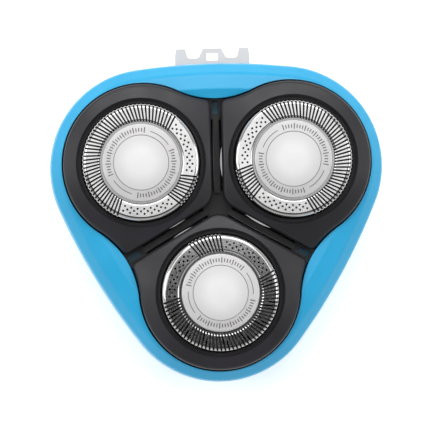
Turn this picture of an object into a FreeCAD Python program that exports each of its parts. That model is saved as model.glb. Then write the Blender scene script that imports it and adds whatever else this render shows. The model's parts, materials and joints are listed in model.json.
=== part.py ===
import FreeCAD, Part
import os
from math import atan2, cos, degrees, hypot, pi, radians, sin, sqrt, tan

# Three-headed rotary shaving unit: the detachable head of a rotary electric shaver.
# +Z points out of the shaving face, +Y to the hinge side, +X to the right, seen from above.
# Everything is first made about the middle of the three heads and moved by CENTRE_Y on export,
# so that the origin is the middle of the whole unit's footprint, on its base rim. Millimetres.

# ---- plan layout -------------------------------------------------------------------------
HEAD_ANGLES = {1: 150.0, 2: 30.0, 3: 270.0}   # rear left, rear right, front
HEAD_R = 18.0                  # head axis from the middle
HOUSING_CORNER_AT = 15.8       # centre of a corner arc from the middle
HOUSING_CORNER_R = 20.6
HOUSING_SIDE_REACH = 29.35     # middle of a side from the middle of the unit
FRAME_CORNER_AT = 17.45
FRAME_CORNER_R = 16.4
FRAME_SIDE_REACH = 21.6        # outer end of the grooves between the head frames
GROOVE_WIDTH = 2.1
FRAME_GAP = 0.35               # housing opening round the head frames

# ---- heights -----------------------------------------------------------------------------
WAIST_Z = 12.5                 # widest level of the housing
DECK_Z = 12.5                  # top of the chassis plate
FRAME_BASE_Z = 18.7            # underside of the head frames' face plates
HOLE_EDGE_Z = 22.4             # head frame at the edge of its round hole
CAP_TOP_Z = 23.9

# ---- housing -----------------------------------------------------------------------------
BASE_INSET = 5.2
WALL = 1.7
CAVITY_TOP_Z = 18.2
COLLAR_WALL = 1.2
COLLAR_BASE_Z = 15.6
BOSS_AT = 20.3
BOSS_R = 2.3
BOSS_TOP_Z = 16.4
BOSS_WEB = 1.2
NOTCH_HALF = 8.0
NOTCH_TOP_Z = 6.6
EAR_WIDTH = 1.8
CATCH_AT = 27.4                # inner edge of the catch ledge from the middle
CATCH_TOP_Z = 4.4
CATCH_THICKNESS = 1.4
# corners of the outside above the waist: inset from the widest outline, height, rounding
CROWN = [(0.0, WAIST_Z, 0.0), (0.1, 15.4, 6.0), (0.35, 17.2, 1.0), (2.4, 19.5, 2.0),
         (5.5, 20.3, 0.7), (8.6, 19.2, 0.0)]

# ---- chassis and screws ------------------------------------------------------------------
PLATE_THICKNESS = 2.0
PLATE_INSET = 1.95
PLATE_HOLE_R = 14.7
HUB_R = 3.0
HUB_TOP_Z = 17.6
RIB_WIDTH = 1.2
RIB_TOP_Z = 18.2
HOOD = (17.6, 21.8)            # black hood over each boss, along the groove
HOOD_HALF = 1.9
HOOD_Z = (17.0, 17.8)
HOOD_WINDOW = (18.7, 21.4)
HOOD_WINDOW_HALF = 0.63
SCREW_R = 0.8
SCREW_HEAD_R = 1.6
SCREW_DEPTH = 3.0

# ---- head frame and its flex hinge -------------------------------------------------------
HOLE_R = 12.9
LEDGE_R = 12.3                 # ledge low in the hole, close round the cap
LEDGE_Z = 20.6
DOME_R = 45.0
BARREL_R = 14.25
BARREL_BORE_R = 13.45
BARREL_BASE_Z = 15.0
FLEX_AT = 3.3                  # flex axis from the middle
FLEX_Z = 19.6
FLEX_PIN_R = 0.45
FLEX_PIN_HALF = 3.2
RUNNING_GAP = 0.07
KNUCKLE_R = 0.85
KNUCKLE_HALF = 1.3
KNUCKLE_GAP = 0.2
TAB_ANGLE = 28.0               # bayonet tabs that carry the lock ring
TAB_R = 12.7
TAB_TOP_Z = 15.5

# ---- springs -----------------------------------------------------------------------------
SPRING_AT = (21.0, 47.0)       # distance and angle from the corner direction
SPRING_R = 1.0
SPRING_WIRE_R = 0.15
SPRING_TURNS = 5
WAVE_R = 12.75
WAVE_WIDTH = 0.7
WAVE_THICKNESS = 0.12
WAVES = 4

# ---- lock ring ---------------------------------------------------------------------------
LOCK_R = 13.2
LOCK_BORE_R = 10.2
LOCK_Z = (15.6, 16.6)
GRIP_BASE_Z = 14.2
GRIP_ANGLE = 22.0
LOCK_TWIST = 45.0

# ---- guard cap ---------------------------------------------------------------------------
CAP_R = 12.0
SHEET = 0.35
FLANGE_R = 13.25
FLANGE_Z = (18.0, 18.6)
CAP_OUTER_EDGE_R = 0.9
CAP_INNER_EDGE_R = 0.5
CAP_INNER_R = 8.4              # inner edge of the slotted ring
CAP_FLOOR_Z = 22.8
SLOT_PITCH = 4.0               # degrees
SLOT_WIDTH = 0.36
SLOT_SKEW = 10.0
SLOT_DEPTH = 0.8
NEAR_SLOTS = 4                 # slots each side of the middle of the small group
FAR_SLOTS = 24                 # slots each side of the middle of the large group
HOLE_ZONE = 50.5               # middle of a perforated zone from the small group
HOLE_PITCH = 8.1
HOLE_ROWS = [(9.45, 8), (9.97, 7), (10.5, 8)]
PERFORATION_R = 0.22
CAP_CLOCK = {1: -3.0, 2: -5.0, 3: 14.0}

# ---- disc in the middle of a cap ---------------------------------------------------------
DISC_R = 8.0
DISC_EDGE_Z = 23.55
DISC_TOP_Z = 24.05
DISC_RING_R = 5.65
STUB_R = 1.2
STUB_BASE_Z = 21.3

# ---- cutter, lifter and carrier ----------------------------------------------------------
BLADES = 15
BLADE_R = (8.95, 11.15)
BLADE_TOP_Z = 23.5
BLADE_WIDTH = 0.4
BLADE_LEAN = 0.7
CUTTER_RING_R = (7.6, 9.25)
CUTTER_RING_Z = (20.75, 21.15)
LIFTER_RING_R = (7.6, 11.2)
LIFTER_THICKNESS = 0.15
LIFTER_R = (9.45, 11.2)
LIFTER_TOP_Z = 23.2
LIFTER_LEAD = 0.85
LIFTER_WIDTH = 0.2
CARRIER_R = 10.8
CARRIER_PLATE = 0.6
CARRIER_HUB_R = 3.2
CARRIER_Z = (18.0, 22.2)
SOCKET_R = 1.6
SOCKET_DEPTH = 2.6
SOCKET_KEY = 0.55

# ---- lug bracket and its pin -------------------------------------------------------------
BRACKET_HALF = 7.75
BRACKET_THICKNESS = 1.2
BRACKET_Y = 25.2               # hinge axis
BRACKET_Z = 4.2
BARREL_KNUCKLE_R = 1.4
BRACKET_PIN_R = 0.75
BRACKET_REACH = 3.45           # beyond the side of the housing
BRACKET_NOTCH = 1.45           # bottom of the notches beyond the side of the housing
OUTER_TAB = 2.15
MIDDLE_TAB_TOP = 3.8
MIDDLE_TAB_BASE = 5.8
WINDOW = (2.4, 1.5)
WINDOW_BAR = 1.0
NOTCH_FILLET = 0.7

HOUSING_REACH = HOUSING_CORNER_AT + HOUSING_CORNER_R
BRACKET_END = HOUSING_SIDE_REACH + BRACKET_REACH
CENTRE_Y = (HOUSING_REACH - BRACKET_END) / 2

V = FreeCAD.Vector
UP = V(0, 0, 1)
HIGH = 30.0


def polar(r, angle, z=0.0):
    return V(r * cos(radians(angle)), r * sin(radians(angle)), z)


def cylinder(r, z0, z1, x=0.0, y=0.0):
    return Part.makeCylinder(r, z1 - z0, V(x, y, z0))


def tube(r_out, r_in, z0, z1):
    return cylinder(r_out, z0, z1).cut(cylinder(r_in, z0 - 1, z1 + 1))


def block(x0, x1, y0, y1, z0, z1):
    return Part.makeBox(x1 - x0, y1 - y0, z1 - z0, V(x0, y0, z0))


def turned(shape, angle):
    """A copy of the shape turned about the vertical axis through the middle."""
    copy = shape.copy()
    copy.rotate(V(0, 0, 0), UP, angle)
    return copy


def moved(shape, x=0.0, y=0.0, z=0.0):
    copy = shape.copy()
    copy.translate(V(x, y, z))
    return copy


def repeated(shape, count, start=0.0):
    return [turned(shape, start + 360.0 * i / count) for i in range(count)]


def revolved(points):
    """A solid of revolution about the vertical axis from a closed outline of (r, z) corners."""
    corners = [V(r, 0, z) for r, z in points]
    face = Part.Face(Part.makePolygon(corners + corners[:1]))
    return face.revolve(V(0, 0, 0), UP, 360)


def sector(r_out, r_in, angle, z0, z1):
    """A piece of a ring, centred on the +X direction."""
    ring = Part.makeCylinder(r_out, z1 - z0, V(0, 0, z0), UP, angle)
    return turned(ring, -angle / 2).cut(cylinder(r_in, z0 - 1, z1 + 1))


def extruded(wire, z0, z1):
    return moved(Part.Face(wire).extrude(V(0, 0, z1 - z0)), z=z0)


# ---- three-sided outlines ----------------------------------------------------------------
# An outline is six tangent arcs: three corners, and three sides that are shallow and convex on
# the housing, or hollow between the head frames. Insets keep the centres and change the radii.

def outline_arcs(corner_at, corner_r, side_reach, hollow):
    """(centre, radius, mid angle, half span, hollow) of each arc of the outline."""
    step = side_reach - corner_r
    if hollow:
        rise = corner_r ** 2 - corner_at ** 2 - side_reach ** 2 + corner_at * side_reach
        side_r = rise / (2 * side_reach - corner_at - 2 * corner_r)
        side_at = side_reach + side_r
    else:
        side_at = -(corner_at ** 2 - step ** 2) / (2 * step - corner_at)
        side_r = side_reach - side_at
    across = V(side_at * cos(radians(60)) - corner_at, side_at * sin(radians(60)), 0)
    half = degrees(atan2(across.y, across.x)) if hollow else degrees(atan2(-across.y, -across.x))
    arcs = []
    for angle in sorted(HEAD_ANGLES.values()):
        arcs.append((polar(corner_at, angle), corner_r, angle, half, False))
        facing = angle + 60 + (180 if hollow else 0)
        arcs.append((polar(side_at, angle + 60), side_r, facing, abs(60 - half), hollow))
    return arcs


def outline_wire(arcs, inset=0.0, z=0.0):
    edges = []
    for centre, radius, mid, half, hollow in arcs:
        r = radius + inset if hollow else radius - inset
        circle = Part.Circle(centre + V(0, 0, z), UP, r)
        edges.append(Part.ArcOfCircle(circle, radians(mid - half), radians(mid + half)).toShape())
    return Part.Wire(Part.__sortEdges__(edges))


def outline_body(arcs, profile, low, high):
    """A closed body whose side follows the profile, edges in (-inset, 0, z), all round the arcs."""
    faces = [Part.Face(outline_wire(arcs, *low)), Part.Face(outline_wire(arcs, *high))]
    for centre, radius, mid, half, hollow in arcs:
        for edge in profile:
            side = edge.mirror(V(0, 0, 0), V(1, 0, 0)) if hollow else edge.copy()
            side = turned(moved(side, x=radius), mid - half)
            side.translate(centre)
            faces.append(side.revolve(centre, UP, 2 * half))
    shell = Part.makeShell(faces)
    shell.sewShape()
    solid = Part.makeSolid(shell)
    if solid.Volume < 0:
        solid.reverse()
    return solid


HOUSING_ARCS = outline_arcs(HOUSING_CORNER_AT, HOUSING_CORNER_R, HOUSING_SIDE_REACH, False)
FRAME_ARCS = outline_arcs(FRAME_CORNER_AT, FRAME_CORNER_R, FRAME_SIDE_REACH, True)


def wall_arc(low_inset, high_inset):
    """The bowl-shaped lower wall: an arc from the base that is vertical at the waist."""
    rise = low_inset - high_inset
    r = (rise ** 2 + WAIST_Z ** 2) / (2 * rise)
    turn = atan2(WAIST_Z, r - rise) / 2
    middle = V(-high_inset - r + r * cos(turn), 0, WAIST_Z - r * sin(turn))
    ends = V(-low_inset, 0, 0), V(-high_inset, 0, WAIST_Z)
    return Part.Arc(ends[0], middle, ends[1]).toShape()


# ---- housing -----------------------------------------------------------------------------

def rounded_profile(corners):
    """Lines through (inset, z, rounding) corners, with a tangent arc at every inner corner."""
    points = [V(-inset, 0, z) for inset, z, rounding in corners]
    edges, last = [], points[0]
    for before, corner, after, (inset, z, r) in zip(points, points[1:], points[2:], corners[1:]):
        back, ahead = (before - corner).normalize(), (after - corner).normalize()
        half = back.getAngle(ahead) / 2
        middle = corner + (back + ahead).normalize() * (r / sin(half) - r)
        start, end = corner + back * (r / tan(half)), corner + ahead * (r / tan(half))
        edges += [Part.makeLine(last, start), Part.Arc(start, middle, end).toShape()]
        last = end
    return edges + [Part.makeLine(last, points[-1])]


def housing_outside():
    profile = [wall_arc(BASE_INSET, 0.0)] + rounded_profile(CROWN)
    return outline_body(HOUSING_ARCS, profile, (BASE_INSET, 0.0), CROWN[-1][:2])


def housing_cavity():
    """The hair chamber: the outside, one wall in, less the collar round the opening."""
    upper = Part.makeLine(V(-WALL, 0, WAIST_Z), V(-WALL - 0.2, 0, CAVITY_TOP_Z))
    profile = [wall_arc(BASE_INSET + WALL, WALL), upper]
    cavity = outline_body(HOUSING_ARCS, profile, (BASE_INSET + WALL, 0.0),
                          (WALL + 0.2, CAVITY_TOP_Z))
    collar = extruded(outline_wire(FRAME_ARCS, -FRAME_GAP - COLLAR_WALL), COLLAR_BASE_Z, HIGH)
    return cavity.cut(collar)


def hinge_ears(outside):
    """Two ears beside the rear notch, which hold the bracket's pin."""
    ears = []
    for side in (-1, 1):
        x0, x1 = sorted((side * NOTCH_HALF, side * (NOTCH_HALF + EAR_WIDTH)))
        ears.append(block(x0, x1, BRACKET_Y - 2.2, BRACKET_Y + 3, BRACKET_Z - 2.2, NOTCH_TOP_Z))
    return outside.common(ears[0].fuse(ears[1]))


def catch_ledge(outside):
    """The ledge inside the front corner that a handle's catch hooks over."""
    ledge = block(-4, 4, -HOUSING_REACH, -CATCH_AT, CATCH_TOP_Z - CATCH_THICKNESS, CATCH_TOP_Z)
    return outside.common(ledge)


def head_housing():
    outside = housing_outside()
    shell = outside.cut([housing_cavity(),
                         extruded(outline_wire(FRAME_ARCS, -FRAME_GAP), COLLAR_BASE_Z, HIGH),
                         block(-NOTCH_HALF, NOTCH_HALF, BRACKET_Y - 4, HIGH, -1, NOTCH_TOP_Z)])
    boss = cylinder(BOSS_R, DECK_Z, BOSS_TOP_Z, BOSS_AT)
    web = block(BOSS_AT, HOUSING_SIDE_REACH - WALL, -BOSS_WEB / 2, BOSS_WEB / 2,
                DECK_Z + 1, BOSS_TOP_Z)
    bosses = repeated(boss.fuse(web), 3, 90)
    shell = shell.fuse(bosses + [hinge_ears(outside), catch_ledge(outside)])
    pilots = repeated(cylinder(SCREW_R, DECK_Z - 1, DECK_Z + SCREW_DEPTH, BOSS_AT), 3, 90)
    pin_hole = Part.makeCylinder(BRACKET_PIN_R, 2 * NOTCH_HALF + 2 * EAR_WIDTH - 1,
                                 V(-NOTCH_HALF - EAR_WIDTH + 0.5, BRACKET_Y, BRACKET_Z),
                                 V(1, 0, 0))
    return shell.cut(pilots + [pin_hole]).removeSplitter()


# ---- chassis -----------------------------------------------------------------------------

def flex_knuckle():
    """The chassis ear that a head frame's flex pin runs in, along the corner direction +X."""
    neck = block(2.2, 3.2, -KNUCKLE_HALF, KNUCKLE_HALF, HUB_TOP_Z - 1, FLEX_Z)
    axis = V(0, 1, 0)
    start = V(FLEX_AT, -KNUCKLE_HALF, FLEX_Z)
    eye = Part.makeCylinder(KNUCKLE_R, 2 * KNUCKLE_HALF, start, axis)
    bore = Part.makeCylinder(FLEX_PIN_R + RUNNING_GAP, 2 * KNUCKLE_HALF + 2,
                             start - axis, axis)
    return neck.fuse(eye).cut(bore)


def chassis():
    base_z = DECK_Z - PLATE_THICKNESS
    plate = extruded(outline_wire(HOUSING_ARCS, PLATE_INSET), base_z, DECK_Z)
    plate = plate.cut([turned(cylinder(PLATE_HOLE_R, base_z - 1, HIGH, HEAD_R), angle)
                       for angle in HEAD_ANGLES.values()])
    rib = block(HUB_R - 0.5, BOSS_AT - BOSS_R, -RIB_WIDTH / 2, RIB_WIDTH / 2,
                DECK_Z - 0.5, RIB_TOP_Z)
    hood = block(*HOOD, -HOOD_HALF, HOOD_HALF, *HOOD_Z)
    hood = hood.cut(block(*HOOD_WINDOW, -HOOD_WINDOW_HALF, HOOD_WINDOW_HALF, 0, HIGH))
    distance, angle = SPRING_AT
    peg = cylinder(SPRING_R - 0.4, DECK_Z - 0.5, DECK_Z + 1.5, distance)
    knuckle = flex_knuckle()
    additions = [cylinder(HUB_R, base_z, HUB_TOP_Z)]
    for corner in HEAD_ANGLES.values():
        additions += [turned(rib, corner + 60), turned(hood, corner + 60), turned(knuckle, corner)]
        additions += [turned(peg, corner - angle), turned(peg, corner + angle)]
    plate = plate.fuse(additions)
    hole = cylinder(SCREW_R + 0.15, base_z - 1, DECK_Z + 1, BOSS_AT)
    return plate.cut(repeated(hole, 3, 90)).removeSplitter()


def chassis_screw():
    """A pan-head screw, head down, with a cross recess, at the origin of the chassis plate."""
    base_z = DECK_Z - PLATE_THICKNESS
    head_z = base_z - 1.1
    screw = cylinder(SCREW_HEAD_R, head_z, base_z).fuse(
        cylinder(SCREW_R, base_z, DECK_Z + SCREW_DEPTH - 0.4))
    bars = block(-1.0, 1.0, -0.18, 0.18, head_z - 1, head_z + 0.6)
    return screw.cut(bars.fuse(turned(bars, 90)))


def chassis_screws():
    return Part.makeCompound(repeated(moved(chassis_screw(), BOSS_AT), 3, 90))


# ---- head frame --------------------------------------------------------------------------

def frame_face():
    """The face of one head frame, with its corner direction along +X, before rounding."""
    body = turned(extruded(outline_wire(FRAME_ARCS), FRAME_BASE_Z, HIGH), -30)
    edge = GROOVE_WIDTH / 2 / sin(radians(60))
    wedge = Part.makePolygon([V(edge, 0, 0), polar(60, -60) + V(edge, 0, 0), V(90, -50, 0),
                              V(90, 50, 0), polar(60, 60) + V(edge, 0, 0), V(edge, 0, 0)])
    return body.common(extruded(wedge, 0, HIGH + 5))


def upright_edges(shape, test):
    """Vertical straight edges of the shape whose foot passes the test."""
    found = []
    for edge in shape.Edges:
        start, end = edge.Vertexes[0].Point, edge.Vertexes[-1].Point
        if abs(start.x - end.x) < 1e-4 and abs(start.y - end.y) < 1e-4 and test(start):
            found.append(edge)
    return found


def frame_plate():
    """The domed face plate of one head frame, about the middle of the unit."""
    plate = frame_face()
    tip = upright_edges(plate, lambda p: hypot(p.x, p.y) < 3)
    plate = plate.makeFillet(4.0, tip)
    ends = upright_edges(plate, lambda p: abs(hypot(p.x, p.y) - FRAME_SIDE_REACH) < 0.6)
    plate = plate.makeFillet(1.5, ends)
    drop = sqrt(DOME_R ** 2 - HOLE_R ** 2)
    dome = Part.makeSphere(DOME_R, V(HEAD_R, 0, HOLE_EDGE_Z - drop))
    plate = plate.common(dome)
    rim = [edge for edge in plate.Edges
           if edge.BoundBox.ZMin > FRAME_BASE_Z + 0.5 and edge.Length > 0.5]
    return plate.makeFillet(0.9, rim)


def head_frame():
    plate = frame_plate()
    barrel = moved(tube(BARREL_R, BARREL_BORE_R, BARREL_BASE_Z, FRAME_BASE_Z + 0.01), HEAD_R)
    tab = sector(BARREL_BORE_R + 0.3, TAB_R, TAB_ANGLE, BARREL_BASE_Z, TAB_TOP_Z)
    frame = plate.fuse([barrel] + [moved(t, HEAD_R) for t in repeated(tab, 3, 60)])
    hole = revolved([(0, FRAME_BASE_Z - 1), (LEDGE_R, FRAME_BASE_Z - 1), (LEDGE_R, LEDGE_Z),
                     (HOLE_R, LEDGE_Z), (HOLE_R, HOLE_EDGE_Z - 0.55),
                     (HOLE_R + 0.7, HOLE_EDGE_Z + 0.15),
                     (HOLE_R + 0.7, HIGH), (0, HIGH)])
    slot = block(-1, FLEX_AT + KNUCKLE_R + 0.3, -KNUCKLE_HALF - KNUCKLE_GAP,
                 KNUCKLE_HALF + KNUCKLE_GAP, FRAME_BASE_Z - 1, FLEX_Z + KNUCKLE_R + KNUCKLE_GAP)
    bore = Part.makeCylinder(FLEX_PIN_R, 2 * FLEX_PIN_HALF, V(FLEX_AT, -FLEX_PIN_HALF, FLEX_Z),
                             V(0, 1, 0))
    return frame.cut([moved(hole, HEAD_R), slot, bore]).removeSplitter()


def flex_pin():
    return Part.makeCylinder(FLEX_PIN_R, 2 * FLEX_PIN_HALF, V(FLEX_AT, -FLEX_PIN_HALF, FLEX_Z),
                             V(0, 1, 0))


def coil(z0, z1):
    """A compression spring, its wire a twelve-sided bar swept square to the helix."""
    height = z1 - z0
    helix = Part.makeHelix(height / SPRING_TURNS, height, SPRING_R)
    along = V(0, 2 * pi * SPRING_R, height / SPRING_TURNS).normalize()
    across = along.cross(V(1, 0, 0))
    corners = [V(SPRING_R, 0, 0) + V(1, 0, 0) * (SPRING_WIRE_R * cos(pi * i / 6))
               + across * (SPRING_WIRE_R * sin(pi * i / 6)) for i in range(12)]
    profile = Part.makePolygon(corners + corners[:1])
    return moved(Part.Wire(helix.Edges).makePipeShell([profile], True, True), z=z0)


def flex_springs():
    distance, angle = SPRING_AT
    spring = coil(DECK_Z + 0.2, FRAME_BASE_Z - 0.2)
    return Part.makeCompound([turned(moved(spring, distance), side * angle) for side in (-1, 1)])


def cap_spring():
    """A wave spring between the lock ring and the flange of the guard cap."""
    low, high = LOCK_Z[1] + WAVE_THICKNESS, FLANGE_Z[0] - WAVE_THICKNESS
    middle, swing = (low + high) / 2, (high - low) / 2
    count = 8 * WAVES
    points = [polar(WAVE_R, 360 * i / count, middle + swing * cos(2 * pi * WAVES * i / count))
              for i in range(count)]
    path = Part.BSplineCurve()
    path.interpolate(points, PeriodicFlag=True)
    half = V(WAVE_WIDTH / 2, 0, 0), V(0, 0, WAVE_THICKNESS / 2)
    corners = [points[0] + x + z for x, z in ((-half[0], -half[1]), (half[0], -half[1]),
                                              (half[0], half[1]), (-half[0], half[1]))]
    sweep = Part.BRepOffsetAPI.MakePipeShell(Part.Wire(path.toShape()))
    sweep.setBiNormalMode(UP)
    sweep.add(Part.makePolygon(corners + corners[:1]))
    sweep.build()
    sweep.makeSolid()
    return sweep.shape()


def lock_ring():
    """The bayonet ring that holds a cap and its cutter in the head frame, about the head."""
    ring = tube(LOCK_R, LOCK_BORE_R, *LOCK_Z)
    notch = sector(LOCK_R + 1, TAB_R - 0.25, TAB_ANGLE + 4, LOCK_Z[0] - 1, LOCK_Z[1] + 1)
    ring = ring.cut(repeated(notch, 3, 60 - LOCK_TWIST))
    grip = sector(TAB_R - 0.3, LOCK_BORE_R, GRIP_ANGLE, GRIP_BASE_Z, LOCK_Z[0] + 0.1)
    return ring.fuse(repeated(grip, 2, 90)).removeSplitter()


# ---- guard cap and disc ------------------------------------------------------------------

def arc_points(centre, radius, start, end, count=3):
    return [V(centre[0] + radius * cos(radians(start + (end - start) * i / (count - 1))), 0,
              centre[1] + radius * sin(radians(start + (end - start) * i / (count - 1))))
            for i in range(count)]


def cap_sheet():
    """The pressed steel cap before it is slotted: a flange, a wall, a raised ring and a floor."""
    outer, inner = CAP_OUTER_EDGE_R, CAP_INNER_EDGE_R
    outside = (CAP_R - outer, CAP_TOP_Z - outer)
    inside = (CAP_INNER_R + inner, CAP_TOP_Z - inner)
    under = CAP_INNER_R + SHEET
    hole = STUB_R
    path = [V(FLANGE_R, 0, FLANGE_Z[0]), V(FLANGE_R, 0, FLANGE_Z[1]), V(CAP_R, 0, FLANGE_Z[1]),
            arc_points(outside, outer, 0, 90),
            arc_points(inside, inner, 90, 180),
            V(CAP_INNER_R, 0, CAP_FLOOR_Z), V(hole, 0, CAP_FLOOR_Z),
            V(hole, 0, CAP_FLOOR_Z - SHEET), V(under, 0, CAP_FLOOR_Z - SHEET),
            arc_points(inside, inner - SHEET, 180, 90),
            arc_points(outside, outer - SHEET, 90, 0),
            V(CAP_R - SHEET, 0, FLANGE_Z[0])]
    edges, last = [], path[-1]
    for item in path:
        if isinstance(item, list):
            edges += [Part.makeLine(last, item[0]), Part.Arc(*item).toShape()]
            last = item[-1]
        else:
            edges.append(Part.makeLine(last, item))
            last = item
    return Part.Face(Part.Wire(edges)).revolve(V(0, 0, 0), UP, 360)


def cap_openings():
    """Every slot and hole of a cap; its small group of slots faces the -X direction."""
    length = CAP_R - CAP_INNER_R + 0.5
    middle = (CAP_R + CAP_INNER_R) / 2
    slot = block(-length / 2, length / 2, -SLOT_WIDTH / 2, SLOT_WIDTH / 2,
                 CAP_TOP_Z - SLOT_DEPTH, CAP_TOP_Z + 1)
    slot = moved(turned(slot, SLOT_SKEW), middle)
    near = [180 + SLOT_PITCH * i for i in range(-NEAR_SLOTS, NEAR_SLOTS + 1)]
    far = [SLOT_PITCH * i for i in range(-FAR_SLOTS, FAR_SLOTS + 1)]
    tools = [turned(slot, angle) for angle in near + far]
    for side in (-1, 1):
        for r, count in HOLE_ROWS:
            drill = cylinder(PERFORATION_R, CAP_TOP_Z - SHEET - 0.2, CAP_TOP_Z + 1, r)
            tools += [turned(drill, 180 + side * HOLE_ZONE + HOLE_PITCH * (i - (count - 1) / 2))
                      for i in range(count)]
    return tools


def guard_cap():
    return cap_sheet().cut(cap_openings())


def cap_disc():
    """The domed disc on a cap, with its bearing stub for the cutter below."""
    rise = DISC_TOP_Z - DISC_EDGE_Z
    dome_r = (DISC_R ** 2 + rise ** 2) / (2 * rise)
    disc = cylinder(DISC_R, CAP_FLOOR_Z, DISC_TOP_Z)
    disc = disc.common(Part.makeSphere(dome_r, V(0, 0, DISC_TOP_Z - dome_r)))
    rim = [edge for edge in disc.Edges if edge.BoundBox.ZMin > CAP_FLOOR_Z + 0.1
           and edge.BoundBox.XLength > DISC_R]
    disc = disc.makeFillet(0.3, rim)
    ring = Part.makeTorus(DISC_RING_R, 0.12, V(0, 0, DISC_TOP_Z - 0.18), UP)
    stub = cylinder(STUB_R, STUB_BASE_Z, CAP_FLOOR_Z)
    return disc.cut(ring).fuse(stub)


# ---- cutter ------------------------------------------------------------------------------

def leaning_plate(r_range, z0, z1, lead, width):
    """A thin upright plate across the ring that leans in the direction of rotation."""
    lean = BLADE_LEAN * (z1 - z0) / (BLADE_TOP_Z - CUTTER_RING_Z[1])
    corners = [V(r_range[0], lead, z0), V(r_range[0], lead + width, z0),
               V(r_range[0], lead + width + lean, z1), V(r_range[0], lead + lean, z1)]
    face = Part.Face(Part.makePolygon(corners + corners[:1]))
    return face.extrude(V(r_range[1] - r_range[0], 0, 0))


def cutter():
    ring = tube(CUTTER_RING_R[1], CUTTER_RING_R[0], *CUTTER_RING_Z)
    blade = leaning_plate(BLADE_R, CUTTER_RING_Z[0] + 0.1, BLADE_TOP_Z, -BLADE_WIDTH / 2,
                          BLADE_WIDTH)
    return ring.fuse(repeated(blade, BLADES)).removeSplitter()


def lifter():
    z1 = CUTTER_RING_Z[0]
    z0 = z1 - LIFTER_THICKNESS
    ring = tube(LIFTER_RING_R[1], LIFTER_RING_R[0], z0, z1)
    finger = leaning_plate(LIFTER_R, z0 + 0.05, LIFTER_TOP_Z, LIFTER_LEAD, LIFTER_WIDTH)
    return ring.fuse(repeated(finger, BLADES)).removeSplitter()


def cutter_carrier():
    """The plastic carrier: a plate with windows, a hub, a drive socket below, a pilot above."""
    top = CUTTER_RING_Z[0] - LIFTER_THICKNESS
    plate = cylinder(CARRIER_R, top - CARRIER_PLATE, top)
    window = sector(7.2, 4.2, 40, top - 2, top + 1)
    plate = plate.cut(repeated(window, 6))
    hub = cylinder(CARRIER_HUB_R, *CARRIER_Z)
    socket = cylinder(SOCKET_R, CARRIER_Z[0] - 1, CARRIER_Z[0] + SOCKET_DEPTH)
    key = block(0, SOCKET_R + 0.5, -SOCKET_KEY / 2, SOCKET_KEY / 2, CARRIER_Z[0] - 1,
                CARRIER_Z[0] + SOCKET_DEPTH)
    pilot = cylinder(STUB_R + RUNNING_GAP, STUB_BASE_Z - 0.2, CARRIER_Z[1] + 1)
    return plate.fuse(hub).cut([socket, pilot] + repeated(key, 3)).removeSplitter()


# ---- lug bracket -------------------------------------------------------------------------

def bracket_plan():
    """Half outline of the bracket plate from the middle out, then mirrored."""
    end, notch = BRACKET_END, HOUSING_SIDE_REACH + BRACKET_NOTCH
    root = BRACKET_Y
    half = [(MIDDLE_TAB_TOP / 2, end), (MIDDLE_TAB_BASE / 2, notch),
            (BRACKET_HALF - OUTER_TAB - 0.5, notch), (BRACKET_HALF - OUTER_TAB, end),
            (BRACKET_HALF - 0.2, end), (BRACKET_HALF, end - 1.4), (BRACKET_HALF, root)]
    right = [V(x, y, 0) for x, y in half]
    left = [V(-p.x, p.y, 0) for p in reversed(right)]
    return Part.makePolygon(right + left + right[:1])


def lug_bracket():
    z0, z1 = BRACKET_Z - BRACKET_THICKNESS / 2, BRACKET_Z + BRACKET_THICKNESS / 2
    plate = extruded(bracket_plan(), z0, z1)
    bottom = HOUSING_SIDE_REACH + BRACKET_NOTCH
    plate = plate.makeFillet(NOTCH_FILLET, upright_edges(plate, lambda p: abs(p.y - bottom) < 0.01))
    start = V(-BRACKET_HALF, BRACKET_Y, BRACKET_Z)
    knuckle = Part.makeCylinder(BARREL_KNUCKLE_R, 2 * BRACKET_HALF, start, V(1, 0, 0))
    bore = Part.makeCylinder(BRACKET_PIN_R + RUNNING_GAP, 2 * BRACKET_HALF + 2,
                             start - V(1, 0, 0), V(1, 0, 0))
    width, depth = WINDOW
    bar_y = BRACKET_END - WINDOW_BAR
    window = block(-width / 2, width / 2, bar_y - depth, bar_y, z0 - 1, z1 + 1)
    flanges = [block(-BRACKET_HALF, -BRACKET_HALF + 0.8, BRACKET_Y, BRACKET_END - 1.6,
                     z0 - 1.4, z0 + 0.1),
               block(BRACKET_HALF - 0.8, BRACKET_HALF, BRACKET_Y, BRACKET_END - 1.6,
                     z0 - 1.4, z0 + 0.1)]
    return plate.fuse([knuckle] + flanges).cut([bore, window]).removeSplitter()


def bracket_pin():
    half = NOTCH_HALF + EAR_WIDTH - 0.5
    return Part.makeCylinder(BRACKET_PIN_R, 2 * half, V(-half, BRACKET_Y, BRACKET_Z),
                             V(1, 0, 0))


# ---- export ------------------------------------------------------------------------------

def save(name, shape):
    placed = moved(shape, y=CENTRE_Y)
    placed.exportStep("parts/" + name + ".step")
    print(name, "valid" if placed.isValid() else "NOT VALID", len(placed.Solids), "solids",
          round(placed.Volume, 2), "mm3")


def save_each(name, shape, at=0.0, clock=None):
    """The same piece for every head, moved out to the head's axis where at is its distance."""
    for number, angle in HEAD_ANGLES.items():
        piece = turned(shape, clock[number]) if clock else shape
        save(name + "_" + str(number), turned(moved(piece, at), angle))


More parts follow.
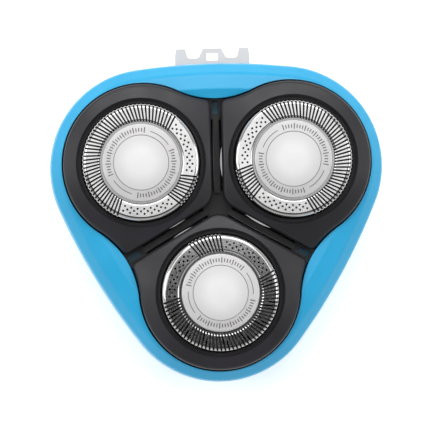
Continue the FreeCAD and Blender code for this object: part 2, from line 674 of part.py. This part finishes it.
def main():
    os.makedirs("parts", exist_ok=True)
    save("head_housing", head_housing())
    save("chassis", chassis())
    save("chassis_screws", chassis_screws())
    save("lug_bracket", lug_bracket())
    save("bracket_pin", bracket_pin())
    save_each("head_frame", head_frame())
    save_each("flex_pin", flex_pin())
    save_each("flex_springs", flex_springs())
    save_each("lock_ring", lock_ring(), HEAD_R)
    save_each("cap_spring", cap_spring(), HEAD_R)
    save_each("guard_cap", guard_cap(), HEAD_R, CAP_CLOCK)
    save_each("cap_disc", cap_disc(), HEAD_R)
    save_each("cutter", cutter(), HEAD_R)
    save_each("lifter", lifter(), HEAD_R)
    save_each("cutter_carrier", cutter_carrier(), HEAD_R)


main()
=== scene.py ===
import bmesh
import bpy
import json
from math import cos, pi, radians, sin, tan
from mathutils import Matrix, Vector
from mathutils.bvhtree import BVHTree

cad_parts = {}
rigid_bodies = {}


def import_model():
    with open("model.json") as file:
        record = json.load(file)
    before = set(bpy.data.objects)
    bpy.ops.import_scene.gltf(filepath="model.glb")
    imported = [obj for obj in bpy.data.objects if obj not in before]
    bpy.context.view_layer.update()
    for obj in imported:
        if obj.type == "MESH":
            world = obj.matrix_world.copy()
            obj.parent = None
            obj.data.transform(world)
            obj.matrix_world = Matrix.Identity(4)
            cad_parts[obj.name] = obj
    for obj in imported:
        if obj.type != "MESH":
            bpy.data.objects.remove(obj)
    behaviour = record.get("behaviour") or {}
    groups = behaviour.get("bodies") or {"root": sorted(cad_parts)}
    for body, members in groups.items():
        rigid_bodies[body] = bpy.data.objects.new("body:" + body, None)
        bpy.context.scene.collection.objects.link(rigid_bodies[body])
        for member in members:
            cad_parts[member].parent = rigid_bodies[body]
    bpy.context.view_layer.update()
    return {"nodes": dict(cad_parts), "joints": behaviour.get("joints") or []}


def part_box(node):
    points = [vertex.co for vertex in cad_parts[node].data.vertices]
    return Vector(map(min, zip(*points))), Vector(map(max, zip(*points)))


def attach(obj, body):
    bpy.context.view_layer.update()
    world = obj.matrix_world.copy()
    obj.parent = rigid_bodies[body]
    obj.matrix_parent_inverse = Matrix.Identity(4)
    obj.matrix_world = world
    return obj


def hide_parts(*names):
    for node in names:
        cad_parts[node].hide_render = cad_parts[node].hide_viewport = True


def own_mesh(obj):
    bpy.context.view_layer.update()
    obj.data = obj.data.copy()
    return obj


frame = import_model()
NODES = frame["nodes"]
JOINTS = {joint["name"]: joint for joint in frame["joints"]}
HEADS = (1, 2, 3)
MM = 0.001

# ---- where things are, from the frame ------------------------------------------------------


def middle_of(node):
    low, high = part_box(node)
    return (low + high) / 2


HEAD_AXIS = {k: middle_of(f"cap_disc_{k}") for k in HEADS}
UNIT_MIDDLE = sum(HEAD_AXIS.values(), Vector()) / len(HEADS)
CAP_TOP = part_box("guard_cap_1")[1].z

# ---- camera and light settings -------------------------------------------------------------
VIEW_WIDTH = 87.8 * MM            # seen across the picture at the level of the caps
CAMERA_DISTANCE = 1.0
CAMERA_ROLL = radians(1.45)
CAMERA_LEFT = radians(1.5)        # the camera stands a little to the left of straight above,
CAMERA_FRONT = radians(0.6)       # and a little to the front
AIM = Vector((-0.72, -2.1, 0.0)) * MM
SENSOR = 36.0
FLOOR_GLOW = 0.42                 # the sheet under the unit is lit from below a little
FLOOR_HALF = 1.5
SIDE_LIGHT = 0.68                 # the room is bright low down all round
OVERHEAD_LIGHT = 0.08             # and dark straight above, so flat steel can turn dark
ROOM_FADE = (0.5, 0.97)           # upward share of a direction where that fade starts and ends
UNIT_AIM = (0.0, 0.0, 0.015)
PANELS = {                        # place, size, power, and what the panel faces
    "rear_box": ((0.0, 0.354, 1.2), (1.0, 0.7), 3.2, (0.0, 0.354, 0.0)),
    "back_box": ((0.0, 0.60, 0.70), (0.9, 0.35), 4.6, UNIT_AIM),
    "left_box": ((-0.70, 0.10, 0.60), (0.35, 0.6), 2.2, UNIT_AIM),
    "right_box": ((0.70, 0.05, 0.60), (0.35, 0.6), 1.6, UNIT_AIM),
}

# ---- where painted shade changes on a part ---------------------------------------------------
BOSS_REACH = (22.3 * MM, 22.6 * MM)         # the bosses end at this distance from the middle
BOSS_TOPS = (16.6 * MM, 17.0 * MM)          # and below this height
UNDERSIDE = (CAP_TOP - 0.50 * MM, CAP_TOP - 0.36 * MM)      # of a cap's top sheet
FLANGE_TOP = (CAP_TOP - 5.2 * MM, CAP_TOP - 5.0 * MM)
SLOTS_START = (8.40 * MM, 8.45 * MM)        # the slotted band of a cap, out from its axis
SLOTS_END = (11.82 * MM, 11.92 * MM)

# ---- size of the patterns in the plastics ------------------------------------------------------
DRIFT = 14 * MM
SMEAR = 5 * MM
ORANGE_PEEL = 1.6 * MM

# ---- engraved circle and printed marks on the discs -----------------------------------------
ENGRAVED_R = 5.65 * MM
LINE_INNER = (ENGRAVED_R - 0.13 * MM, ENGRAVED_R - 0.08 * MM)      # edges of the engraved line
LINE_OUTER = (ENGRAVED_R + 0.06 * MM, ENGRAVED_R + 0.11 * MM)
RING_START = (ENGRAVED_R - 0.05 * MM, ENGRAVED_R + 0.05 * MM)
HIGHLIGHT_R = 2.0 * MM                # the painted highlight on a disc's middle is whitest out to here
MARK_LIFT = 0.012 * MM
MARK_RING = 6.7 * MM
MARK_ARC_R = 6.65 * MM
MARK_ARC_SPAN = radians(40)
MARK_ARC_WIDTH = 0.14 * MM
MARK_ARC_STEPS = 24
RAY_LIFT = 5 * MM                 # marks are laid on a disc from this far above the caps
TICK_SPAN = radians(118)
TICK_COUNT = 25
LONG_TICK_EVERY = 4
TICK_WIDTH = 0.20 * MM
TICK_LONG = 1.15 * MM
TICK_SHORT = 0.75 * MM
MARK_DIRECTION = {1: radians(51.8), 2: radians(137.9), 3: radians(16.3)}   # middle of one arc


# ---- small node-material builder -----------------------------------------------------------

class Shader:
    """One node material around a Principled BSDF, with patterns in the frame's own metres."""

    def __init__(self, name, **constants):
        self.material = bpy.data.materials.new(name)
        self.material.use_nodes = True
        self.tree = self.material.node_tree
        self.bsdf = self.tree.nodes["Principled BSDF"]
        self.place = self.tree.nodes.new("ShaderNodeTexCoord").outputs["Object"]
        for socket, value in constants.items():
            self.bsdf.inputs[socket.replace("_", " ")].default_value = value

    def put(self, socket, value):
        if isinstance(value, bpy.types.NodeSocket):
            self.tree.links.new(value, socket)
        elif value is not None:
            socket.default_value = value

    def add(self, kind, inputs=(), output=0, **settings):
        node = self.tree.nodes.new(kind)
        for key, value in settings.items():
            setattr(node, key, value)
        for key, value in dict(inputs).items():
            self.put(node.inputs[key], value)
        return node.outputs[output]

    def math(self, operation, a, b=None):
        inputs = {0: a} if b is None else {0: a, 1: b}
        return self.add("ShaderNodeMath", inputs, operation=operation)

    def vector(self, operation, a, b, output=0):
        return self.add("ShaderNodeVectorMath", {0: a, 1: b}, output, operation=operation)

    def noise(self, size, detail=2.0, vector=None):
        """Noise whose lumps are about size metres across, from 0 to 1."""
        return self.add("ShaderNodeTexNoise", {"Vector": vector or self.place,
                                               "Scale": 1 / size, "Detail": detail})

    def span(self, value, low, high, start=0.0, end=1.0):
        """Value from start..end stretched to low..high, smoothly."""
        return self.add("ShaderNodeMapRange", {"Value": value, "From Min": start,
                                               "From Max": end, "To Min": low, "To Max": high},
                        interpolation_type="SMOOTHSTEP")

    def mix(self, share, a, b):
        node = self.tree.nodes.new("ShaderNodeMix")
        node.data_type = "RGBA"
        self.put(node.inputs["Factor"], share)
        self.put(node.inputs["A"], a)
        self.put(node.inputs["B"], b)
        return node.outputs["Result"]

    def color(self, value):
        self.put(self.bsdf.inputs["Base Color"], value)

    def roughness(self, value):
        self.put(self.bsdf.inputs["Roughness"], value)

    def bump(self, height, depth, strength=1.0):
        """Adds a height field, depth metres deep."""
        normal = self.add("ShaderNodeBump", {"Height": height, "Distance": depth,
                                             "Strength": strength})
        self.put(self.bsdf.inputs["Normal"], normal)

    def height(self):
        """Height above the base at each point."""
        return self.add("ShaderNodeSeparateXYZ", {0: self.place}, 2)

    def around(self, axis):
        """(distance from a vertical axis, angle about it) at each point."""
        local = self.vector("SUBTRACT", self.place, tuple(axis))
        split = self.tree.nodes.new("ShaderNodeSeparateXYZ")
        self.put(split.inputs[0], local)
        flat = self.add("ShaderNodeCombineXYZ", {0: split.outputs[0], 1: split.outputs[1]})
        angle = self.math("ARCTAN2", split.outputs[1], split.outputs[0])
        return self.add("ShaderNodeVectorMath", {0: flat}, 1, operation="LENGTH"), angle


def rgb(r, g, b):
    return (r, g, b, 1.0)


# ---- materials -----------------------------------------------------------------------------

def drift_of_colour(s, dark, light):
    return s.mix(s.span(s.noise(DRIFT, 3), 0.0, 1.0, 0.35, 0.65), rgb(*dark), rgb(*light))


def moulded_skin(s, roughness, grain, grain_depth):
    """Smears in the gloss, a fine grain and low orange peel."""
    s.roughness(s.span(s.noise(SMEAR, 4), roughness - 0.04, roughness + 0.05, 0.3, 0.7))
    peel = s.math("MULTIPLY", s.noise(ORANGE_PEEL, 1), 0.6)
    s.bump(s.math("ADD", s.noise(grain, 2), peel), grain_depth)


def moulded(name, light, dark, roughness, grain, grain_depth, **constants):
    """Injection-moulded plastic with a faint drift of colour."""
    s = Shader(name, **constants)
    s.color(drift_of_colour(s, dark, light))
    moulded_skin(s, roughness, grain, grain_depth)
    return s.material


def housing_blue():
    """Satin blue, with painted shade that makes the boss tops deep in the grooves much darker."""
    s = Shader("housing_blue", Specular_IOR_Level=0.35)
    blue = drift_of_colour(s, (0.018, 0.340, 0.610), (0.022, 0.360, 0.640))
    distance, _ = s.around(UNIT_MIDDLE)
    # painted shade: the boss tops deep in the grooves are coloured dark, as if in shadow
    boss = s.span(distance, 1.0, 0.0, *BOSS_REACH)
    deep = s.math("MULTIPLY", boss, s.span(s.height(), 1.0, 0.0, *BOSS_TOPS))
    s.color(s.mix(deep, blue, rgb(0.035, 0.120, 0.180)))
    moulded_skin(s, 0.36, 0.35 * MM, 0.004 * MM)
    return s.material


def turned_grain(s, axis, groove):
    """(distance from the axis, fine rings from 0 to 1 that wander slowly round it)"""
    distance, angle = s.around(axis)
    rings = s.add("ShaderNodeCombineXYZ", {0: s.math("MULTIPLY", distance, 1 / groove),
                                           1: s.math("MULTIPLY", angle, 3.0)})
    return distance, s.add("ShaderNodeTexNoise", {"Vector": rings, "Scale": 1.0, "Detail": 3.0})


def cap_steel(number):
    """Polished cap: fine turned rings outside; painted shade underneath: near black, and rougher,
    under the slotted band and on the flange; dark grey under the middle of the top sheet.
    """
    s = Shader(f"cap_steel_{number}", Metallic=1.0)
    distance, grain = turned_grain(s, HEAD_AXIS[number], 0.07 * MM)
    height = s.height()
    under = s.span(height, 1.0, 0.0, *UNDERSIDE)
    between = s.math("MULTIPLY", s.span(distance, 0.0, 1.0, *SLOTS_START),
                     s.span(distance, 1.0, 0.0, *SLOTS_END))
    flange = s.span(height, 1.0, 0.0, *FLANGE_TOP)
    # painted shade: under the slotted band and on the flange the colour is near black; the steel
    # there is also rougher
    shaded_dull_inside = s.math("MAXIMUM", s.math("MULTIPLY", under, between), flange)
    underside_shade = s.math("MULTIPLY", under, s.span(distance, 1.0, 0.0, *SLOTS_START))
    patch = s.noise(4 * MM, 3)
    tone = s.span(s.math("ADD", grain, s.math("MULTIPLY", patch, 0.5)), 0.0, 1.0, 0.4, 1.1)
    bright = s.mix(tone, rgb(0.46, 0.46, 0.46), rgb(0.66, 0.66, 0.655))
    # painted shade: the underside of the top sheet's middle is coloured darker grey
    with_underside_shade = s.mix(underside_shade, bright, rgb(0.30, 0.30, 0.305))
    s.color(s.mix(shaded_dull_inside, with_underside_shade, rgb(0.02, 0.02, 0.021)))
    s.roughness(s.math("ADD", s.span(grain, 0.05, 0.11, 0.3, 0.7),
                       s.math("MULTIPLY", shaded_dull_inside, 0.4)))
    s.bump(grain, 0.0012 * MM)
    return s.material


def turned_steel(name, axis, base, roughness, groove, depth):
    """Metal turned about the head's axis: fine rings in height and in roughness."""
    s = Shader(name, Metallic=1.0)
    _, grain = turned_grain(s, axis, groove)
    darker = tuple(c * 0.8 for c in base)
    s.color(s.mix(s.span(grain, 0.0, 1.0, 0.3, 0.7), rgb(*darker), rgb(*base)))
    s.roughness(s.span(grain, roughness - 0.05, roughness + 0.08, 0.3, 0.7))
    s.bump(grain, depth)
    return s.material


def drawn_steel(name, base, roughness, **constants):
    """Bright wire, pins and stampings: small scratches and patches of duller metal."""
    s = Shader(name, Metallic=1.0, **constants)
    stretched = s.vector("MULTIPLY", s.place, (1.0, 1.0, 0.12))
    scratch = s.noise(0.08 * MM, 3, stretched)
    patch = s.noise(2.5 * MM, 4)
    darker = tuple(c * 0.75 for c in base)
    s.color(s.mix(s.span(patch, 0.0, 1.0, 0.35, 0.65), rgb(*darker), rgb(*base)))
    s.roughness(s.span(scratch, roughness - 0.06, roughness + 0.1, 0.3, 0.7))
    s.bump(scratch, 0.004 * MM)
    return s.material


def disc_silver(number):
    """A painted highlight that whitens the middle and fades out by the engraved circle, a thin dark
    line in the engraved circle, a silver satin ring.
    """
    s = Shader(f"disc_silver_{number}", Metallic=0.25)
    distance, _ = s.around(HEAD_AXIS[number])
    outside = s.span(distance, 0.0, 1.0, *RING_START)
    line = s.math("MULTIPLY", s.span(distance, 0.0, 1.0, *LINE_INNER),
                  s.span(distance, 1.0, 0.0, *LINE_OUTER))
    cloud = s.span(s.noise(3 * MM, 3), 0.0, 1.0, 0.3, 0.7)
    # painted highlight: the middle is whitest, fading to the disc's grey by the engraved circle
    painted_highlight = s.mix(cloud, rgb(0.73, 0.73, 0.735), rgb(0.75, 0.75, 0.755))
    edge = s.span(distance, 0.0, 1.0, HIGHLIGHT_R, ENGRAVED_R)
    middle = s.mix(edge, painted_highlight, rgb(0.62, 0.615, 0.62))
    ring = s.mix(cloud, rgb(0.57, 0.56, 0.565), rgb(0.60, 0.59, 0.595))
    s.color(s.mix(line, s.mix(outside, middle, ring), rgb(0.26, 0.26, 0.265)))
    pearl = s.noise(0.06 * MM, 2)
    s.roughness(s.math("ADD", s.span(outside, 0.42, 0.36), s.math("MULTIPLY", pearl, 0.06)))
    s.bump(pearl, 0.003 * MM)
    return s.material


def ink():
    s = Shader("mark_ink", Specular_IOR_Level=0.3)
    speck = s.noise(0.05 * MM, 2)
    s.color(s.mix(speck, rgb(0.07, 0.07, 0.075), rgb(0.11, 0.11, 0.115)))
    s.roughness(s.span(speck, 0.45, 0.65, 0.3, 0.7))
    return s.material


def floor_material():
    s = Shader("floor_paper", Specular_IOR_Level=0.1)
    fibre = s.noise(1.2 * MM, 4)
    s.color(s.mix(fibre, rgb(0.95, 0.945, 0.94), rgb(0.97, 0.965, 0.96)))
    s.roughness(s.span(fibre, 0.75, 0.9))
    s.bsdf.inputs["Emission Color"].default_value = rgb(1.0, 1.0, 1.0)
    s.bsdf.inputs["Emission Strength"].default_value = FLOOR_GLOW
    return s.material


def dress(node, material):
    """Gives a CAD node its finish."""
    NODES[node].data.materials.clear()
    NODES[node].data.materials.append(material)


def dress_all():
    black = moulded("frame_black", (0.018, 0.0165, 0.022), (0.012, 0.0115, 0.014), 0.42,
                    0.16 * MM, 0.006 * MM, Specular_IOR_Level=0.4)
    inner_black = moulded("chassis_black", (0.016, 0.016, 0.017), (0.010, 0.010, 0.011), 0.5,
                          0.2 * MM, 0.008 * MM)
    silver = moulded("bracket_silver", (0.68, 0.625, 0.60), (0.63, 0.58, 0.555), 0.42,
                     0.12 * MM, 0.006 * MM)
    grey = moulded("carrier_grey", (0.55, 0.56, 0.58), (0.48, 0.49, 0.51), 0.45,
                   0.2 * MM, 0.006 * MM)
    lock = moulded("lock_grey", (0.10, 0.105, 0.115), (0.075, 0.08, 0.088), 0.45,
                   0.2 * MM, 0.006 * MM)
    pin = drawn_steel("pin_steel", (0.62, 0.62, 0.63), 0.28)
    spring = drawn_steel("spring_steel", (0.54, 0.54, 0.56), 0.25)
    # painted shade: the lifter steel is coloured near black, as it sits in shadow under the caps
    lifter = drawn_steel("shaded_lifter_steel", (0.12, 0.12, 0.125), 0.45)
    dress("head_housing", housing_blue())
    dress("chassis", inner_black)
    dress("lug_bracket", silver)
    dress("chassis_screws", pin)
    dress("bracket_pin", pin)
    for k in HEADS:
        dress(f"guard_cap_{k}", cap_steel(k))
        dress(f"cap_disc_{k}", disc_silver(k))
        # painted shade: the blade steel is coloured near black, as it sits in shadow under the caps
        dress(f"cutter_{k}", turned_steel(f"shaded_blade_steel_{k}", HEAD_AXIS[k], (0.12, 0.12, 0.123),
                                          0.35, 0.05 * MM, 0.003 * MM))
        dress(f"lifter_{k}", lifter)
        dress(f"head_frame_{k}", black)
        dress(f"cutter_carrier_{k}", grey)
        dress(f"lock_ring_{k}", lock)
        dress(f"flex_pin_{k}", pin)
        dress(f"cap_spring_{k}", spring)
        dress(f"flex_springs_{k}", spring)


# ---- stand-in springs --------------------------------------------------------------------------

def pressed_spring(node, joint):
    """Stands for a CAD spring: a copy of its mesh on the joint's parent body, with the CAD node
    hidden.
    """
    spring = bpy.data.objects.new(f"pressed_{node}", NODES[node].data.copy())
    bpy.context.scene.collection.objects.link(spring)
    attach(spring, JOINTS[joint]["parent"])
    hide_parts(node)
    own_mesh(spring)


def press_springs(k):
    """Puts stand-ins in place of a head's cap spring and flex springs."""
    cap_joint, head_joint = f"guard_float_{k}", f"head_flex_{k}"
    pressed_spring(f"cap_spring_{k}", cap_joint)
    pressed_spring(f"flex_springs_{k}", head_joint)


# ---- printed marks ---------------------------------------------------------------------------

def surface_of(node):
    mesh = NODES[node].data
    return BVHTree.FromPolygons([v.co for v in mesh.vertices], [p.vertices for p in mesh.polygons])


def add_bar(mesh, surface, axis, r0, r1, start, end, steps):
    """A printed bar between two radii and two angles, laid on the surface below it."""
    rows = []
    for i in range(steps + 1):
        angle = start + (end - start) * i / steps
        row = []
        for r in (r0, r1):
            x, y = axis.x + r * cos(angle), axis.y + r * sin(angle)
            hit = surface.ray_cast(Vector((x, y, CAP_TOP + RAY_LIFT)), Vector((0, 0, -1)))[0]
            row.append((mesh.verts.new(hit - Vector((0, 0, MARK_LIFT))),
                        mesh.verts.new(hit + Vector((0, 0, MARK_LIFT)))))
        rows.append(row)
    for near, far in zip(rows, rows[1:]):
        (a0, a1), (b0, b1) = near
        (c0, c1), (d0, d1) = far
        mesh.faces.new((a1, b1, d1, c1))
        mesh.faces.new((a0, c0, d0, b0))
        mesh.faces.new((a0, a1, c1, c0))
        mesh.faces.new((b0, d0, d1, b1))
    for (a0, a1), (b0, b1) in (rows[0], rows[-1]):
        mesh.faces.new((a0, b0, b1, a1))


def disc_marks(number, material):
    """Two spans of plain ticks and the two thin arcs between them, printed on a disc."""
    surface = surface_of(f"cap_disc_{number}")
    axis = HEAD_AXIS[number]
    mesh = bmesh.new()
    for half in (0, pi):
        arc = MARK_DIRECTION[number] + half
        add_bar(mesh, surface, axis, MARK_ARC_R - MARK_ARC_WIDTH / 2,
                MARK_ARC_R + MARK_ARC_WIDTH / 2, arc - MARK_ARC_SPAN / 2,
                arc + MARK_ARC_SPAN / 2, MARK_ARC_STEPS)
        for i in range(TICK_COUNT):
            angle = arc + pi / 2 + TICK_SPAN * (i / (TICK_COUNT - 1) - 0.5)
            length = TICK_LONG if i % LONG_TICK_EVERY == 0 else TICK_SHORT
            half_width = TICK_WIDTH / 2 / MARK_RING
            add_bar(mesh, surface, axis, MARK_RING - length / 2, MARK_RING + length / 2,
                    angle - half_width, angle + half_width, 1)
    bmesh.ops.recalc_face_normals(mesh, faces=mesh.faces)
    data = bpy.data.meshes.new(f"disc_marks_{number}")
    mesh.to_mesh(data)
    mesh.free()
    data.materials.append(material)
    piece = bpy.data.objects.new(f"disc_marks_{number}", data)
    bpy.context.scene.collection.objects.link(piece)
    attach(piece, f"guard_{number}")
    return piece


# ---- floor, camera and light -----------------------------------------------------------------

def make_floor():
    data = bpy.data.meshes.new("floor")
    half = FLOOR_HALF
    corners = [(-half, -half, 0), (half, -half, 0), (half, half, 0), (-half, half, 0)]
    data.from_pydata(corners, [], [(0, 1, 2, 3)])
    data.materials.append(floor_material())
    floor = bpy.data.objects.new("floor", data)
    bpy.context.scene.collection.objects.link(floor)


def make_camera():
    data = bpy.data.cameras.new("camera")
    data.sensor_width = SENSOR
    data.lens = SENSOR * CAMERA_DISTANCE / VIEW_WIDTH
    data.clip_start = 0.01
    camera = bpy.data.objects.new("camera", data)
    bpy.context.scene.collection.objects.link(camera)
    turn = Matrix.Rotation(-CAMERA_ROLL, 3, "Z")
    right, up = turn @ Vector((1, 0, 0)), turn @ Vector((0, 1, 0))
    back = Vector((0, 0, 1)) - right * tan(CAMERA_LEFT) - up * tan(CAMERA_FRONT)
    back.normalize()
    up = back.cross(right).normalized()
    right = up.cross(back)
    target = Vector((UNIT_MIDDLE.x, UNIT_MIDDLE.y, CAP_TOP)) + turn @ AIM
    basis = Matrix((right, up, back)).transposed().to_4x4()
    camera.matrix_world = Matrix.Translation(target + back * CAMERA_DISTANCE) @ basis
    bpy.context.scene.camera = camera


def panel(name, place, size, power, target):
    data = bpy.data.lights.new(name, "AREA")
    data.shape = "RECTANGLE"
    data.size, data.size_y = size
    data.energy = power
    lamp = bpy.data.objects.new(name, data)
    bpy.context.scene.collection.objects.link(lamp)
    lamp.location = place
    lamp.rotation_euler = (Vector(place) - Vector(target)).to_track_quat("Z", "Y").to_euler()


def make_room():
    """Even white light from all round, fading to near dark straight above."""
    world = bpy.data.worlds.new("studio")
    world.use_nodes = True
    nodes, links = world.node_tree.nodes, world.node_tree.links
    split = nodes.new("ShaderNodeSeparateXYZ")
    links.new(nodes.new("ShaderNodeTexCoord").outputs["Generated"], split.inputs[0])
    fade = nodes.new("ShaderNodeMapRange")
    fade.interpolation_type = "SMOOTHSTEP"
    for key, value in {"From Min": ROOM_FADE[0], "From Max": ROOM_FADE[1],
                       "To Min": SIDE_LIGHT, "To Max": OVERHEAD_LIGHT}.items():
        fade.inputs[key].default_value = value
    links.new(split.outputs["Z"], fade.inputs["Value"])
    background = nodes["Background"]
    background.inputs["Color"].default_value = rgb(1.0, 1.0, 1.0)
    links.new(fade.outputs["Result"], background.inputs["Strength"])
    bpy.context.scene.world = world


def make_light():
    """A large box above the rear, whose front edge ends over the middle, and weaker side boxes."""
    for name, (place, size, power, target) in PANELS.items():
        panel(name, place, size, power, target)
    bpy.context.scene.view_settings.view_transform = "Standard"


def main():
    make_camera()
    make_floor()
    make_room()
    make_light()
    dress_all()
    marks = ink()
    for k in HEADS:
        disc_marks(k, marks)
        press_springs(k)


main()
